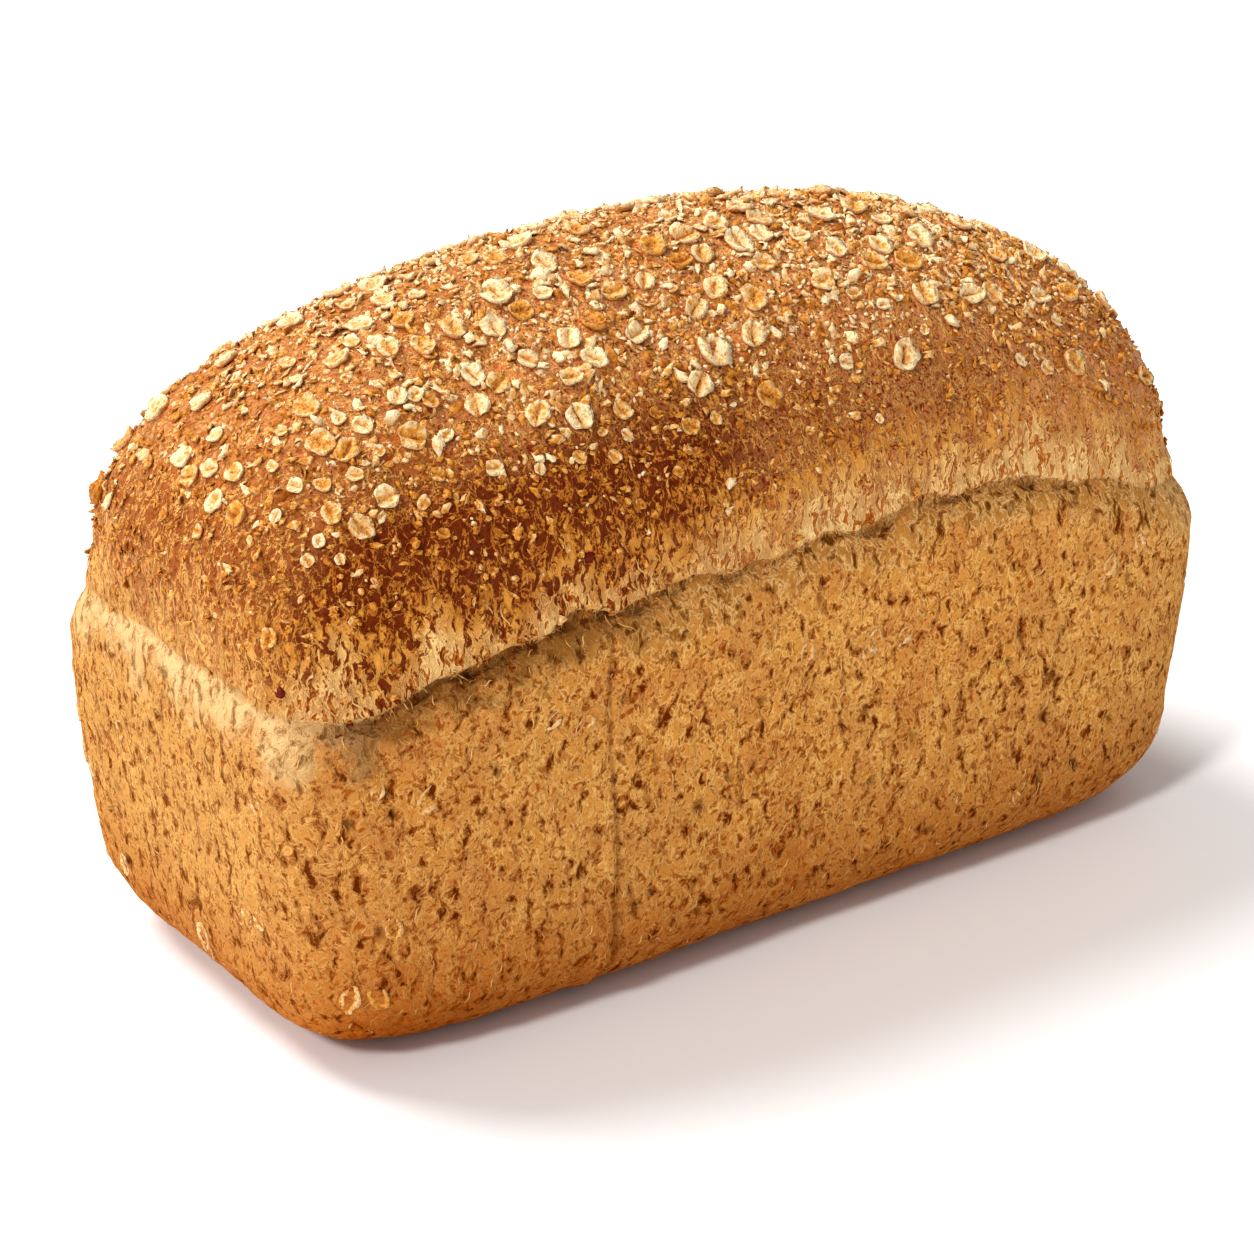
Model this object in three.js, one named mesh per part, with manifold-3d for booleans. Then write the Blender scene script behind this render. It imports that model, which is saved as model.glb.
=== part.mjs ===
// A wholemeal loaf baked in an open tin, with oat flakes baked onto its crown.
// Millimetres, +Z up. The origin is the middle of the flat base, X runs along the loaf,
// and the long side with the dough seam faces -Y.
import * as THREE from "three";
import { mergeVertices } from "three/addons/utils/BufferGeometryUtils.js";
import Module from "manifold-3d";

// The tin's shape, which the walls keep
const LENGTH = 250; // over the end walls at the rim, where the dough rose out of the tin
const WIDTH = 116; // over the side walls at the rim
const END_DRAFT = 5; // how far an end wall comes out from the base to the rim
const SIDE_DRAFT = 1;
const WALL_BULGE = 1.7; // exponent of the draft: 1 is a straight wall, more is a fuller one
const FOOT_RADIUS = 20; // the rounding round the base

// The shred line, a torn crease where the crown lifted away from the walls
const CREASE_HEIGHT = 96.4; // on the long sides
const CREASE_PEAK_X = 13.5;
const CREASE_ARCH = 17.8; // how far it has dropped one half length from its peak
const CREASE_WAVE = { height: 2.6, length: 146, phase: -1.13 };
const CREASE_TEAR = { height: 0.7, length: 31, phase: 0.8 };
const CREASE_END_HEIGHT = 82.5;
const CREASE_SIDE_DEPTH = 3.8; // in from the rim
const CREASE_END_DEPTH = 3;
const LIP = 9.5; // from the rim up to the crease

// The crown
const HEIGHT = 153; // to the top, without the flakes
const CROWN_SIDE_INSET = 2.6; // in from the rim, where the crown is widest
const CROWN_END_INSET = 1.4;
const CROWN_BELLY = 8; // from the crease up to where the crown is widest
const END_ROUNDNESS = 2.2; // exponents of the arches along and across the loaf
const SIDE_ROUNDNESS = 1.72;

// How square the horizontal sections are, as superellipse exponents
const BASE_SQUARENESS = 6.8;
const RIM_SQUARENESS = 8.2;
const BELLY_SQUARENESS = 5;
const TOP_SQUARENESS = 1.75;

// The low lumps of the risen dough
const LUMP_HEIGHT = 0.7;
const LUMP_LENGTH = 74;

// The seam between two pieces of dough
const SEAM_X = -52;
const SEAM_WIDTH = 2.4;
const SEAM_DEPTH = 2.2;
const SEAM_NARROWING = 8; // how much narrower it is at the bottom of its groove

// The oat flakes
const FLAKE_COUNT = 124;
const FLAKE_LARGEST = 8.6; // across
const FLAKE_SMALLEST = 4.8;
const FLAKE_THICKNESS = 1; // above the crust
const FLAKE_SUNK = 1.2; // below it
const FLAKE_SIDES = 7;
const FLAKE_TAPER = 0.84; // the width of its top over that of its bottom
const FLAKE_GAP = 1.2; // between neighbours
const FLAKE_REACH = 0.93; // how far down the crown they lie, 1 being its widest line
const FLAKE_SEED = 20;

// Levels up the outside of the loaf, from the middle of the base to the top of the crown
const BASE_MIDDLE = 0;
const BASE_EDGE = 1;
const FOOT_TOP = 2;
const RIM = 3;
const CREASE = 4;
const BELLY = 5;
const TOP = 6;

// The body's facets: columns along and across, and rows between the levels
const COLUMNS_ALONG = 32;
const COLUMNS_ACROSS = 14;
const COLUMN_CROWDING = 0.25; // how much closer the columns stand towards the corners
const LID_EDGE = 5.36; // the level where the rows of the walls end and the lid begins
const ROWS = [
  { from: BASE_EDGE, to: FOOT_TOP, count: 5 },
  { from: FOOT_TOP, to: RIM, count: 3 },
  { from: RIM, to: CREASE, count: 2 },
  { from: CREASE, to: BELLY, count: 3 },
  { from: BELLY, to: LID_EDGE, count: 4 },
];

const wasm = await Module();
wasm.setup();

const mix = THREE.MathUtils.lerp;
const QUARTER_TURN = Math.PI / 2;
const FULL_TURN = 2 * Math.PI;
const halfLength = LENGTH / 2;
const halfWidth = WIDTH / 2;

const wave = ({ height, length, phase }, x) => height * Math.sin((FULL_TURN * x) / length + phase);

// Heights and depths at a place round the loaf. (u, v) is a point on the rim of the unit square.
function placeRound(u, v) {
  const along = Math.abs(u) ** 4;
  const ends = along / (along + Math.abs(v) ** 4); // 1 on an end, 0 on a long side
  const x = u * halfLength;
  const sag = CREASE_ARCH * ((x - CREASE_PEAK_X) / halfLength) ** 2;
  const sideCrease = CREASE_HEIGHT - sag + wave(CREASE_WAVE, x);
  const tear = wave(CREASE_TEAR, x + v * halfWidth);
  const crease = mix(sideCrease, CREASE_END_HEIGHT, ends) + tear;
  return {
    ends,
    crease,
    rim: crease - LIP,
    creaseDepth: mix(CREASE_SIDE_DEPTH, CREASE_END_DEPTH, ends),
    crownInset: mix(CROWN_SIDE_INSET, CROWN_END_INSET, ends),
  };
}

function wallSection(at, height, inset) {
  const below = 1 - height / at.rim;
  const lean = below ** WALL_BULGE;
  return {
    long: halfLength - inset - END_DRAFT * lean,
    wide: halfWidth - inset - SIDE_DRAFT * lean,
    height,
    squareness: mix(RIM_SQUARENESS, BASE_SQUARENESS, below),
  };
}

function footSection(at, t) {
  const turn = t * QUARTER_TURN;
  return wallSection(at, FOOT_RADIUS * (1 - Math.cos(turn)), FOOT_RADIUS * (1 - Math.sin(turn)));
}

function baseSection(at, t) {
  const edge = footSection(at, 0);
  return { ...edge, long: edge.long * t, wide: edge.wide * t };
}

function insetSection(inset, height, squareness) {
  return { long: halfLength - inset, wide: halfWidth - inset, height, squareness };
}

function lipSection(at, t) {
  const inset = at.creaseDepth * (1 - Math.cos(t * QUARTER_TURN));
  return insetSection(inset, mix(at.rim, at.crease, t), mix(RIM_SQUARENESS, BELLY_SQUARENESS, t / 2));
}

function bellySection(at, t) {
  const inset = mix(at.creaseDepth, at.crownInset, Math.sin(t * QUARTER_TURN));
  const squareness = mix(RIM_SQUARENESS, BELLY_SQUARENESS, (1 + t) / 2);
  return insetSection(inset, at.crease + CROWN_BELLY * t, squareness);
}

function crownSection(at, t) {
  const out = Math.max(Math.cos(t * QUARTER_TURN), 0);
  const up = Math.sin(t * QUARTER_TURN);
  const rise = mix(up ** (2 / SIDE_ROUNDNESS), up ** (2 / END_ROUNDNESS), at.ends);
  return {
    long: (halfLength - at.crownInset) * out ** (2 / END_ROUNDNESS),
    wide: (halfWidth - at.crownInset) * out ** (2 / SIDE_ROUNDNESS),
    height: mix(at.crease + CROWN_BELLY, HEIGHT, rise),
    squareness: mix(BELLY_SQUARENESS, TOP_SQUARENESS, t),
  };
}

// The horizontal section of the loaf at a level, as it is at one place round it.
function section(u, v, level) {
  const at = placeRound(u, v);
  if (level <= BASE_EDGE) return baseSection(at, level - BASE_MIDDLE);
  if (level <= FOOT_TOP) return footSection(at, level - BASE_EDGE);
  if (level <= RIM) return wallSection(at, mix(FOOT_RADIUS, at.rim, level - FOOT_TOP), 0);
  if (level <= CREASE) return lipSection(at, level - RIM);
  if (level <= BELLY) return bellySection(at, level - CREASE);
  return crownSection(at, level - BELLY);
}

// Waves that cross, strongest on the crown and gone at the crease.
function lump({ x, y, z }, level) {
  const k = FULL_TURN / LUMP_LENGTH;
  const crossing = Math.sin(k * x + 0.6) * Math.cos(1.3 * k * y + 0.4);
  const slanting = 0.6 * Math.sin(1.9 * k * x - 1.1 * k * y + 2.1);
  const rising = 0.4 * Math.sin(2.7 * k * z + 1.2 * k * x);
  const strength = THREE.MathUtils.smoothstep(level, CREASE, BELLY + 0.3);
  return LUMP_HEIGHT * strength * (crossing + slanting + rising);
}

// A point of the crust.
function crustPoint(u, v, level) {
  const { long, wide, height, squareness } = section(u, v, level);
  const reach = (Math.abs(u) ** squareness + Math.abs(v) ** squareness) ** (-1 / squareness);
  const point = new THREE.Vector3(long * u * reach, wide * v * reach, height);
  const outward = new THREE.Vector3(
    point.x / halfLength ** 2,
    point.y / halfWidth ** 2,
    Math.max(height - CREASE_END_HEIGHT, 0) / (HEIGHT - CREASE_END_HEIGHT) ** 2,
  ).normalize();
  return point.addScaledVector(outward, lump(point, level));
}

// A point of a lid or floor spread over the whole unit square, given the levels of its edge and middle.
function squarePoint(u, v, edgeLevel, middleLevel) {
  const reach = Math.max(Math.abs(u), Math.abs(v));
  if (reach === 0) return crustPoint(1, 0, middleLevel);
  return crustPoint(u / reach, v / reach, mix(middleLevel, edgeLevel, reach));
}

const crownPoint = (u, v) => squarePoint(u, v, BELLY, TOP);

function crownNormal(u, v) {
  const step = 0.01;
  const along = crownPoint(u + step, v).sub(crownPoint(u - step, v));
  const across = crownPoint(u, v + step).sub(crownPoint(u, v - step));
  return along.cross(across).normalize();
}

function rowLevels() {
  const levels = [BASE_EDGE];
  for (const { from, to, count } of ROWS) {
    for (let i = 1; i <= count; i++) levels.push(mix(from, to, i / count));
  }
  return levels;
}

const crowd = (share) => share * (1 + COLUMN_CROWDING * (1 - share ** 2));

// A box whose faces are bent to the loaf's form.
function bodyGeometry() {
  const levels = rowLevels();
  const rows = levels.length - 1;
  const box = new THREE.BoxGeometry(2, 2, 2, COLUMNS_ALONG, COLUMNS_ACROSS, rows);
  const position = box.getAttribute("position");
  for (let i = 0; i < position.count; i++) {
    const u = crowd(position.getX(i));
    const v = crowd(position.getY(i));
    const w = position.getZ(i);
    const onWall = Math.max(Math.abs(u), Math.abs(v)) > 1 - 1e-6;
    let point;
    if (onWall) point = crustPoint(u, v, levels[Math.round(((w + 1) / 2) * rows)]);
    else if (w > 0) point = squarePoint(u, v, LID_EDGE, TOP);
    else point = squarePoint(u, v, BASE_EDGE, BASE_MIDDLE);
    position.setXYZ(i, point.x, point.y, point.z);
  }
  return box;
}

// A repeatable stream of numbers from 0 to 1.
function randomStream(seed) {
  let state = seed;
  return () => {
    state = (state + 0x6d2b79f5) >>> 0;
    let mixed = Math.imul(state ^ (state >>> 15), state | 1);
    mixed ^= mixed + Math.imul(mixed ^ (mixed >>> 7), mixed | 61);
    return ((mixed ^ (mixed >>> 14)) >>> 0) / 2 ** 32;
  };
}

// Where the flakes lie: the largest first, each clear of those before it, thinning out down the crown.
function flakePlaces() {
  const random = randomStream(FLAKE_SEED);
  const flakes = [];
  while (flakes.length < FLAKE_COUNT) {
    const share = flakes.length / FLAKE_COUNT;
    const size = mix(FLAKE_LARGEST, FLAKE_SMALLEST, share) * mix(0.92, 1.08, random());
    const u = mix(-1, 1, random());
    const v = mix(-1, 1, random());
    const turn = random() * Math.PI;
    const oval = mix(0.74, 0.95, random());
    const luck = random();
    const reach = Math.hypot(u, v);
    if (reach > FLAKE_REACH || luck < (reach / FLAKE_REACH) ** 3) continue;
    const centre = crownPoint(u, v);
    const isClear = flakes.every(
      (other) => centre.distanceTo(other.centre) > (size + other.size) / 2 + FLAKE_GAP,
    );
    if (isClear) flakes.push({ centre, normal: crownNormal(u, v), size, turn, oval });
  }
  return flakes;
}

// One flake, a low oval drum.
function flakeGeometry({ centre, normal, size, turn, oval }) {
  const radius = size / 2;
  const height = FLAKE_THICKNESS + FLAKE_SUNK;
  const drum = new THREE.CylinderGeometry(FLAKE_TAPER * radius, radius, height, FLAKE_SIDES, 1);
  drum.scale(1, 1, oval);
  drum.rotateY(turn);
  drum.translate(0, height / 2 - FLAKE_SUNK, 0);
  drum.applyQuaternion(new THREE.Quaternion().setFromUnitVectors(new THREE.Vector3(0, 1, 0), normal));
  return drum.translate(centre.x, centre.y, centre.z);
}

// The seam's cutter, a wedge that follows the wall from under the base to just below the crease.
function seamGeometry() {
  const inner = [];
  for (let level = BASE_EDGE; level <= CREASE - 0.25; level += 0.25) {
    const point = crustPoint(SEAM_X / halfLength, -1, level);
    inner.push(new THREE.Vector2(point.y + SEAM_DEPTH, point.z));
  }
  const outerY = -halfWidth - SEAM_DEPTH;
  const foot = new THREE.Vector2(inner[0].x, -SEAM_DEPTH);
  const outer = [new THREE.Vector2(outerY, -SEAM_DEPTH), new THREE.Vector2(outerY, inner.at(-1).y)];
  const profile = new THREE.Shape([foot, ...outer, ...inner.reverse()]);
  const slab = new THREE.ExtrudeGeometry(profile, { depth: SEAM_WIDTH, bevelEnabled: false });
  const position = slab.getAttribute("position");
  for (let i = 0; i < position.count; i++) {
    const y = position.getX(i);
    const z = position.getY(i);
    const fromMiddle = position.getZ(i) - SEAM_WIDTH / 2;
    const isOutside = y < outerY + 1e-3 || z < 0;
    position.setXYZ(i, SEAM_X + fromMiddle / (isOutside ? 1 : SEAM_NARROWING), y, z);
  }
  return slab;
}

function toSolid(geometry) {
  geometry.deleteAttribute("normal");
  geometry.deleteAttribute("uv");
  const merged = mergeVertices(geometry, 1e-4);
  const mesh = new wasm.Mesh({
    numProp: 3,
    vertProperties: new Float32Array(merged.getAttribute("position").array),
    triVerts: new Uint32Array(merged.getIndex().array),
  });
  return new wasm.Manifold(mesh);
}

function toGeometry(solid) {
  const { vertProperties, triVerts } = solid.getMesh();
  const geometry = new THREE.BufferGeometry();
  geometry.setAttribute("position", new THREE.BufferAttribute(vertProperties, 3));
  geometry.setIndex(new THREE.BufferAttribute(triVerts, 1));
  geometry.computeVertexNormals();
  return geometry;
}

function loafSolid() {
  const seamed = toSolid(bodyGeometry()).subtract(toSolid(seamGeometry()));
  return flakePlaces().reduce((loaf, flake) => loaf.add(toSolid(flakeGeometry(flake))), seamed);
}

const crust = new THREE.MeshStandardMaterial({ color: 0xb9722f, roughness: 0.8, metalness: 0 });
const loaf = new THREE.Mesh(toGeometry(loafSolid()), crust);
loaf.name = "loaf";

const part = new THREE.Group();
part.add(loaf);
export default part;
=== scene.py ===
"""A wholemeal loaf baked in an open tin, with rolled oats baked onto its crown.

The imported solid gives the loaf's size and place. This script models its crust again with the relief that
baking leaves, and lays the oats, chips and crumbs on it. Lengths are in millimetres until a mesh is made.
"""
import math
import random

import bmesh
import bpy
import numpy as np
from mathutils import Matrix, Vector, kdtree, noise
from mathutils.bvhtree import BVHTree


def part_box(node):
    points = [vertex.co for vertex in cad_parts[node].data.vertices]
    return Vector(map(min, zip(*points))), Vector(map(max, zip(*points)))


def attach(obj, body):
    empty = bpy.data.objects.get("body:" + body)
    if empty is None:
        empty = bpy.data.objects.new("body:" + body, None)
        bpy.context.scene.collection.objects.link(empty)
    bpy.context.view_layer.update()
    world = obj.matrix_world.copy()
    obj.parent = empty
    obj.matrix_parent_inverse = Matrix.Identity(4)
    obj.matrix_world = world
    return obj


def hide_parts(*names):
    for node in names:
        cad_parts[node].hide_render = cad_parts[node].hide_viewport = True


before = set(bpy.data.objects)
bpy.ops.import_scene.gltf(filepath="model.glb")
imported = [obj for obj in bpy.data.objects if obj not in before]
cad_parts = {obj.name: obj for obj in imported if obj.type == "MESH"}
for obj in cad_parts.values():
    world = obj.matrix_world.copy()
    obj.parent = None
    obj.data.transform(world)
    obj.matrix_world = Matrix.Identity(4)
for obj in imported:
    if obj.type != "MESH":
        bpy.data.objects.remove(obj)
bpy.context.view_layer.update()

MM = 0.001

# The photograph's frame and the camera that took it, with angles in degrees
PHOTO_SIDE = 1254
FOCAL_PIXELS = 2800
SENSOR = 36
CAMERA_AZIMUTH = -35.36
CAMERA_ELEVATION = 22.45
CAMERA_DISTANCE = 640
TARGET_SIDEWAYS = -6.3
TARGET_HEIGHT = 55.9

# The tin's shape, which the walls keep
LOW, HIGH = (Vector(corner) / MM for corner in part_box("loaf"))
HALF_LENGTH = (HIGH.x - LOW.x) / 2
HALF_WIDTH = (HIGH.y - LOW.y) / 2
END_DRAFT = 5
SIDE_DRAFT = 1
WALL_BULGE = 1.7
FOOT_RADIUS = 20

# The shred line, a torn crease where the crown lifted away from the walls
CREASE_HEIGHT = 96.4
CREASE_PEAK_X = 13.5
CREASE_ARCH = 17.8
CREASE_END_HEIGHT = 82.5
CREASE_SIDE_DEPTH = 3.8
CREASE_END_DEPTH = 1.2
LIP = 9.5
LIP_DROOP = 1.6
LIP_OVERHANG = 1.0

# The crown
FLAKE_PROUD = 1.7
FLAKE_LIFT = 0.6
WHOLE_FLAKES = 240
FLAKE_TRIES = 4000
HEIGHT = HIGH.z - FLAKE_PROUD
CROWN_SIDE_INSET = 2.6
CROWN_END_INSET = 1.8
CROWN_BELLY = 8
END_ROUNDNESS = 2.2
SIDE_ROUNDNESS = 1.72

# How square the horizontal sections are, as superellipse exponents
BASE_SQUARENESS = 6.8
RIM_SQUARENESS = 8.2
BELLY_SQUARENESS = 5
TOP_SQUARENESS = 1.75

# The seam between two pieces of dough, and the pores in the walls
SEAM_X = -52
SEAM_DEPTH = 0.9
PORE_DEPTH = 1.3
PORE_SPACING = (6.2, 6.2, 7.4)

# Levels up the outside of the loaf, from the middle of the base to the top of the crown
BASE_MIDDLE, BASE_EDGE, FOOT_TOP, RIM, CREASE, BELLY, TOP = range(7)
LID_EDGE = 5.36

# The crust mesh: columns along and across, and rows between the levels
COLUMNS_ALONG = 204
COLUMNS_ACROSS = 90
ROWS = [
    (BASE_EDGE, FOOT_TOP, 20),
    (FOOT_TOP, RIM, 36),
    (RIM, CREASE, 12),
    (CREASE, BELLY, 13),
    (BELLY, LID_EDGE, 17),
]

# Where the photograph shows its largest flakes: across and down in its pixels, and how wide each one is
SEEN_FLAKES = [
    (577, 231, 29), (652, 248, 32), (684, 237, 31), (715, 225, 27), (739, 209, 34), (759, 221, 30),
    (739, 244, 34), (761, 236, 27), (701, 256, 27), (679, 263, 26), (799, 237, 22), (763, 264, 25),
    (835, 250, 24), (820, 216, 27), (714, 290, 30), (753, 300, 30), (694, 310, 28), (613, 293, 26),
    (644, 283, 23), (822, 282, 27), (593, 323, 29), (636, 335, 27), (752, 336, 28), (568, 340, 27),
    (593, 359, 29), (570, 378, 24), (767, 396, 28), (578, 418, 30), (621, 411, 23), (579, 280, 27),
    (374, 287, 30), (384, 302, 26), (362, 327, 27), (403, 323, 25), (338, 361, 28), (389, 350, 24),
    (423, 347, 27), (453, 330, 29), (493, 329, 27), (496, 295, 34), (544, 265, 29), (496, 260, 27),
    (430, 265, 25), (521, 313, 25), (527, 361, 23), (472, 376, 27), (498, 385, 24), (397, 398, 22),
    (477, 407, 27), (537, 415, 28), (363, 427, 22), (321, 445, 30), (347, 452, 28), (412, 438, 31),
    (386, 498, 25), (332, 514, 23), (361, 528, 29), (228, 361, 26), (203, 403, 26), (185, 458, 25),
    (192, 477, 23), (237, 474, 24), (217, 502, 24), (238, 515, 26), (904, 214, 30), (853, 208, 29),
    (919, 239, 31), (960, 226, 27), (880, 221, 22), (872, 263, 28), (906, 263, 31), (879, 247, 27),
    (970, 295, 28), (990, 295, 25), (1038, 297, 23), (1066, 294, 25), (270, 638, 22), (445, 437, 18),
    (339, 420, 17), (469, 262, 21), (355, 476, 18), (379, 452, 13), (438, 476, 17), (423, 504, 16),
    (493, 469, 18), (539, 470, 13), (578, 458, 16), (429, 355, 17), (448, 282, 16), (418, 297, 18),
    (348, 308, 18), (352, 344, 20), (415, 396, 18), (430, 402, 20), (323, 486, 18), (212, 470, 20),
    (296, 487, 18), (200, 532, 17), (308, 561, 14), (340, 560, 13), (217, 437, 18), (289, 365, 18),
    (300, 380, 18), (151, 463, 15), (166, 514, 14), (277, 517, 15), (319, 542, 15), (283, 433, 14),
    (274, 468, 14), (655, 414, 15), (689, 427, 21), (601, 433, 11), (613, 457, 15), (626, 436, 15),
    (677, 472, 13), (714, 419, 15), (443, 534, 14), (639, 504, 12), (852, 295, 18), (882, 306, 16),
    (996, 339, 18), (1019, 317, 15), (1019, 361, 15), (1045, 369, 15), (1017, 340, 12), (845, 363, 17),
    (878, 419, 10), (1055, 322, 15), (923, 331, 12), (996, 257, 21), (667, 219, 19), (543, 295, 21),
]

# Flakes that show in the walls, and burnt beads of sugar with their widths, in the photograph's pixels
SUNKEN_FLAKES = [
    (120, 730), (255, 805), (247, 917), (585, 725), (645, 765), (905, 635),
    (880, 580), (1110, 565), (1140, 545), (875, 640), (427, 800), (350, 1000),
]
SUNKEN_BY_CHANCE = 60
SUGAR_BEADS = [(589, 557, 18), (280, 693, 16)]

# Broken toppings: how many, least and greatest size in mm, how toasted the middle one is, and the seed
BROKEN = {
    "curled_fragments": (3600, (1.3, 4.6), 0.45, 21),
    "ragged_chips": (4200, (1.1, 3.4), 0.55, 22),
    "toasted_chips": (4000, (0.9, 2.4), 0.95, 24),
    "crumbs": (5200, (0.6, 1.9), 0.5, 23),
}

# Strands: how many, where they head, how much they stray, lengths and thicknesses in mm, and the seed
STRANDS = {
    "lip_strands": (220, (0.25, 0, -1), 0.3, (3, 6), (0.4, 0.7), 31),
    "band_strands": (600, (0.25, 0, -1), 0.25, (3, 7), (0.5, 0.85), 32),
    "wall_strands": (1800, (0.5, -0.3, 1), 0.55, (2, 4.5), (0.4, 0.65), 33),
}

# Lamps: azimuth, elevation and how wide each looks, in degrees as seen from the loaf, and its strength
LAMPS = {"softbox": (-153, 55, 26, 3.2), "spot": (-72, 42, 9, 1.6)}
SKY_STRENGTH = 0.45

# What the crust mesh tells its material at each place: height over the crease, how closed the skin is, how
# toasted, with painted shade below the lip at the near end, the share of an end, and how deep it is in a
# pore, in the seam and towards the sole
CRUST_VALUES = ("rise", "skin", "toast_and_crease_shade", "ends", "pore", "seam", "sole")

# The settings and output of a node that mixes two colours
COLOURS = {"data_type": "RGBA", "out": "Result_Color"}


def mix(a, b, share):
    return a + (b - a) * share


def smoothstep(value, low, high):
    share = np.clip((value - low) / (high - low), 0, 1)
    return share * share * (3 - 2 * share)


def hump(value, middle, spread):
    return np.exp(-(((value - middle) / spread) ** 2))


def crease_round(u, v):
    """The share of each place that belongs to an end, and the crease's height there.

    (u, v) are places on the rim of the unit square."""
    ends = np.abs(u) ** 4 / (np.abs(u) ** 4 + np.abs(v) ** 4)
    x = u * HALF_LENGTH
    sag = CREASE_ARCH * ((x - CREASE_PEAK_X) / HALF_LENGTH) ** 2
    sides = CREASE_HEIGHT - sag + 2.6 * np.sin(2 * np.pi * x / 146 - 1.13)
    tear = 0.7 * np.sin(2 * np.pi * (x + v * HALF_WIDTH) / 31 + 0.8)
    return ends, mix(sides, CREASE_END_HEIGHT, ends) + tear


def sections(u, v, level):
    """The half length, half width, height and squareness of the section at each place and level."""
    ends, crease = crease_round(u, v)
    rim = crease - LIP
    depth = mix(CREASE_SIDE_DEPTH, CREASE_END_DEPTH, ends)
    inset = mix(CROWN_SIDE_INSET, CROWN_END_INSET, ends)
    zone = np.clip(np.floor(level), BASE_MIDDLE, BELLY)
    share = level - zone
    turn = share * np.pi / 2
    out, up = np.maximum(np.cos(turn), 0), np.sin(turn)

    foot_turn = np.where(zone < BASE_EDGE, 0, np.where(zone < FOOT_TOP, turn, np.pi / 2))
    foot_inset = FOOT_RADIUS * (1 - np.sin(foot_turn))
    foot_height = FOOT_RADIUS * (1 - np.cos(foot_turn))
    wall_height = np.where(zone < FOOT_TOP, foot_height, mix(FOOT_RADIUS, rim, share))
    below = np.maximum(1 - wall_height / rim, 0)
    spread = np.where(zone < BASE_EDGE, share, 1)
    wall = (
        (HALF_LENGTH - foot_inset - END_DRAFT * below**WALL_BULGE) * spread,
        (HALF_WIDTH - foot_inset - SIDE_DRAFT * below**WALL_BULGE) * spread,
        wall_height,
        mix(RIM_SQUARENESS, BASE_SQUARENESS, below),
    )
    lip_inset = depth * (1 - out)
    lip = (
        HALF_LENGTH - lip_inset,
        HALF_WIDTH - lip_inset,
        mix(rim, crease, share),
        mix(RIM_SQUARENESS, BELLY_SQUARENESS, share / 2),
    )
    belly_inset = mix(depth, inset, up)
    belly = (
        HALF_LENGTH - belly_inset,
        HALF_WIDTH - belly_inset,
        crease + CROWN_BELLY * share,
        mix(RIM_SQUARENESS, BELLY_SQUARENESS, (1 + share) / 2),
    )
    rise = mix(up ** (2 / SIDE_ROUNDNESS), up ** (2 / END_ROUNDNESS), ends)
    crown = (
        (HALF_LENGTH - inset) * out ** (2 / END_ROUNDNESS),
        (HALF_WIDTH - inset) * out ** (2 / SIDE_ROUNDNESS),
        mix(crease + CROWN_BELLY, HEIGHT, rise),
        mix(BELLY_SQUARENESS, TOP_SQUARENESS, share),
    )
    choose = [zone < RIM, zone == RIM, zone == CREASE]
    return [np.select(choose, parts[:3], parts[3]) for parts in zip(wall, lip, belly, crown)]


def smooth_crust(u, v, level):
    """Points of the loaf's plain form."""
    long, wide, height, squareness = sections(u, v, level)
    reach = (np.abs(u) ** squareness + np.abs(v) ** squareness) ** (-1 / squareness)
    return np.stack([long * u * reach, wide * v * reach, height], axis=1)


def field(points, size, of=noise.noise, offset=0.0):
    """A noise of features about size mm across, at each point. size may differ along X, Y and Z."""
    return np.array([of(point) for point in (points / np.array(size) + offset).tolist()])


def crowded_columns(count, places, gain):
    """Column places from -1 to 1, gain times as close together round each (place, spread)."""
    fine = np.linspace(-1, 1, 2001)
    density = 1 + sum((gain - 1) * hump(fine, place, spread) for place, spread in places)
    steps = np.concatenate([[0], np.cumsum((density[1:] + density[:-1]) / 2)])
    return np.interp(np.linspace(0, steps[-1], count + 1), steps, fine)


def block_mesh(columns_along, columns_across, rows):
    """A cube from -1 to 1, cut into rows and columns."""
    block = bmesh.new()
    bmesh.ops.create_cube(block, size=2)
    for axis, pieces in enumerate((columns_along, columns_across, rows)):
        edges = [e for e in block.edges if abs(e.verts[0].co[axis] - e.verts[1].co[axis]) > 1]
        bmesh.ops.subdivide_edges(block, edges=edges, cuts=pieces - 1, use_grid_fill=True)
    return block


def as_mesh(shape, name):
    mesh = bpy.data.meshes.new(name)
    shape.to_mesh(mesh)
    shape.free()
    return mesh


def places_of(mesh, what="vertices", key="co"):
    items = getattr(mesh, what)
    flat = np.empty(len(items) * 3)
    items.foreach_get(key, flat)
    return flat.reshape(-1, 3)


def put_places(mesh, places):
    mesh.vertices.foreach_set("co", places.ravel())
    mesh.update()


def put_values(mesh, name, values):
    attribute = mesh.attributes.new(name, "FLOAT", "POINT")
    attribute.data.foreach_set("value", np.asarray(values, dtype=np.float32))


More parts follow.
